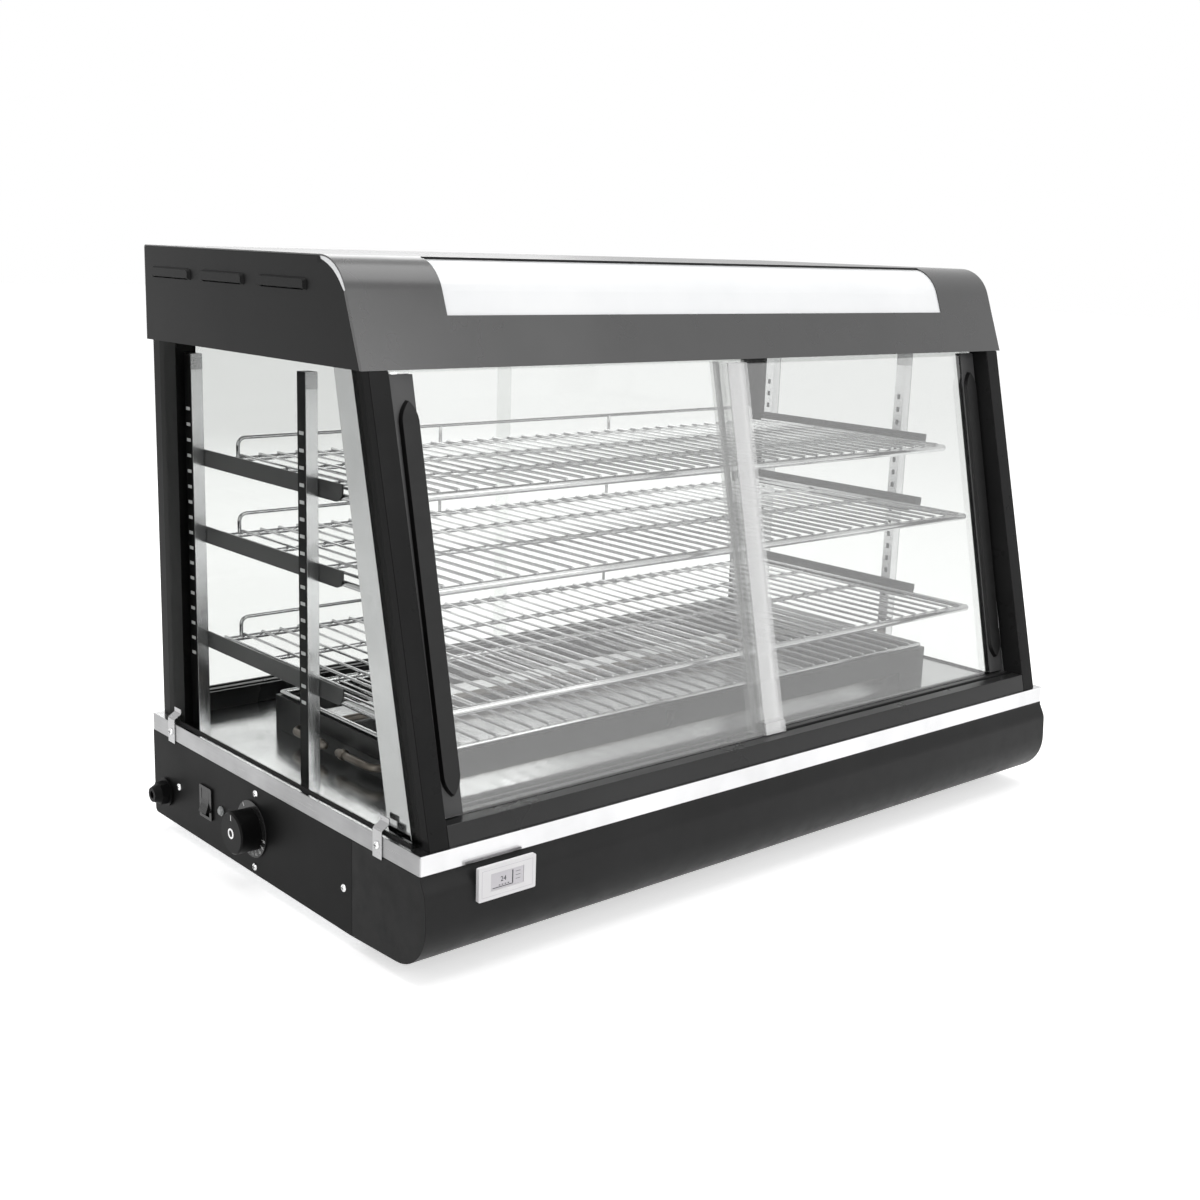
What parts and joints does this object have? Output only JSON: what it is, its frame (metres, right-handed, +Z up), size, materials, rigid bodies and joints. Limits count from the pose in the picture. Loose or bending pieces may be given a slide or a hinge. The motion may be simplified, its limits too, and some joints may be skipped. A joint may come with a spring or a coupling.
{
  "type": "countertop hot food merchandiser",
  "caption": "Heated glass display cabinet with a black base and canopy, wire shelves, slanted sliding front doors, sliding rear doors and side controls.",
  "frame": {"origin": "on the counter, under the middle of all that sticks out, the knob and thermometer included", "axes": "+X to the right as the customer sees it, -Y to the customer's side, +Z up"},
  "size_m": [0.9264, 0.5092, 0.6074],
  "materials": {
    "black_paint": "satin",
    "galvanised_steel": "matt",
    "polished_steel": "polished",
    "foot_rubber": "matt",
    "screw_steel": "bright",
    "black_plastic": "matt",
    "switch_plastic": "gloss",
    "lens_plastic": "gloss",
    "thermostat_plastic": "matt",
    "dial_black": "gloss",
    "white_plastic": "satin",
    "gloss_black": "gloss",
    "rail_black": "satin",
    "clear_glass": "clear",
    "stile_grey": "satin",
    "clear_plastic": "clear",
    "mirror_strip": "polished",
    "upright_steel": "satin",
    "rail_paint": "satin",
    "wire_chrome": "polished",
    "heater_sheath": "dull",
    "sign_white": "gloss",
    "ceiling_metal": "satin",
    "lamp_glass": "opal"
  },
  "bodies": {
    "cabinet": {"base_chassis": "galvanised_steel", "bottom_shelf": "wire_chrome", "bottom_shelf_rails": "rail_paint", "cable_gland": "black_plastic", "canopy_end_left": "black_paint", "canopy_end_right": "black_paint", "canopy_shell": "black_paint", "ceiling_plate": "ceiling_metal", "dial_plate": "dial_black", "feet": "foot_rubber", "floor_plate": "polished_steel", "front_bottom_rail": "rail_black", "front_cover": "black_paint", "front_stile_left": "gloss_black", "front_stile_right": "gloss_black", "front_top_rail": "rail_black", "front_upright_left": "upright_steel", "front_upright_right": "upright_steel", "glass_clips": "polished_steel", "guard_rack": "wire_chrome", "heater_element": "heater_sheath", "heater_guard": "rail_paint", "lamp_holders": "white_plastic", "lamp_tube": "lamp_glass", "left_side_panel": "black_paint", "middle_shelf": "wire_chrome", "middle_shelf_rails": "rail_paint", "mirror_liner_left": "mirror_strip", "mirror_liner_right": "mirror_strip", "pilot_lamp": "lens_plastic", "rear_bottom_rail": "rail_black", "rear_panel": "black_paint", "rear_post_left": "black_paint", "rear_post_right": "black_paint", "rear_top_rail": "rail_black", "rear_upright_left": "upright_steel", "rear_upright_right": "upright_steel", "right_side_panel": "black_paint", "screws": "screw_steel", "side_glass_left": "clear_glass", "side_glass_right": "clear_glass", "sign_panel": "sign_white", "switch_housing": "switch_plastic", "terminal_block": "white_plastic", "thermometer": "white_plastic", "thermostat_body": "thermostat_plastic", "top_shelf": "wire_chrome", "top_shelf_rails": "rail_paint"},
    "front_door_left": {"front_door_left_glass": "clear_glass", "front_door_left_stile": "stile_grey", "front_door_left_seal": "clear_plastic"},
    "front_door_right": {"front_door_right_glass": "clear_glass", "front_door_right_stile": "stile_grey", "front_door_right_seal": "clear_plastic"},
    "rear_door_left": {"rear_door_left_glass": "clear_glass", "rear_door_left_pull": "black_plastic"},
    "rear_door_right": {"rear_door_right_glass": "clear_glass", "rear_door_right_pull": "black_plastic"},
    "knob": {"thermostat_knob": "black_plastic"},
    "rocker": {"switch_rocker": "switch_plastic"}
  },
  "joints": [
    {"name": "front_door_left_slide", "type": "slide", "parent": "cabinet", "child": "front_door_left", "axis": [1, 0, 0], "range_m": [0, 0.396]},
    {"name": "front_door_right_slide", "type": "slide", "parent": "cabinet", "child": "front_door_right", "axis": [-1, 0, 0], "range_m": [0, 0.396]},
    {"name": "rear_door_left_slide", "type": "slide", "parent": "cabinet", "child": "rear_door_left", "axis": [1, 0, 0], "range_m": [0, 0.394]},
    {"name": "rear_door_right_slide", "type": "slide", "parent": "cabinet", "child": "rear_door_right", "axis": [-1, 0, 0], "range_m": [0, 0.394]},
    {"name": "thermostat_turn", "type": "hinge", "parent": "cabinet", "child": "knob", "pos_m": [-0.44222, 0.04262, 0.058], "axis": [1, 0, 0], "range_deg": [0, 300]},
    {"name": "switch_tip", "type": "hinge", "parent": "cabinet", "child": "rocker", "pos_m": [-0.43323, 0.13612, 0.057], "axis": [0, -1, 0], "range_deg": [0, 20]}
  ]
}
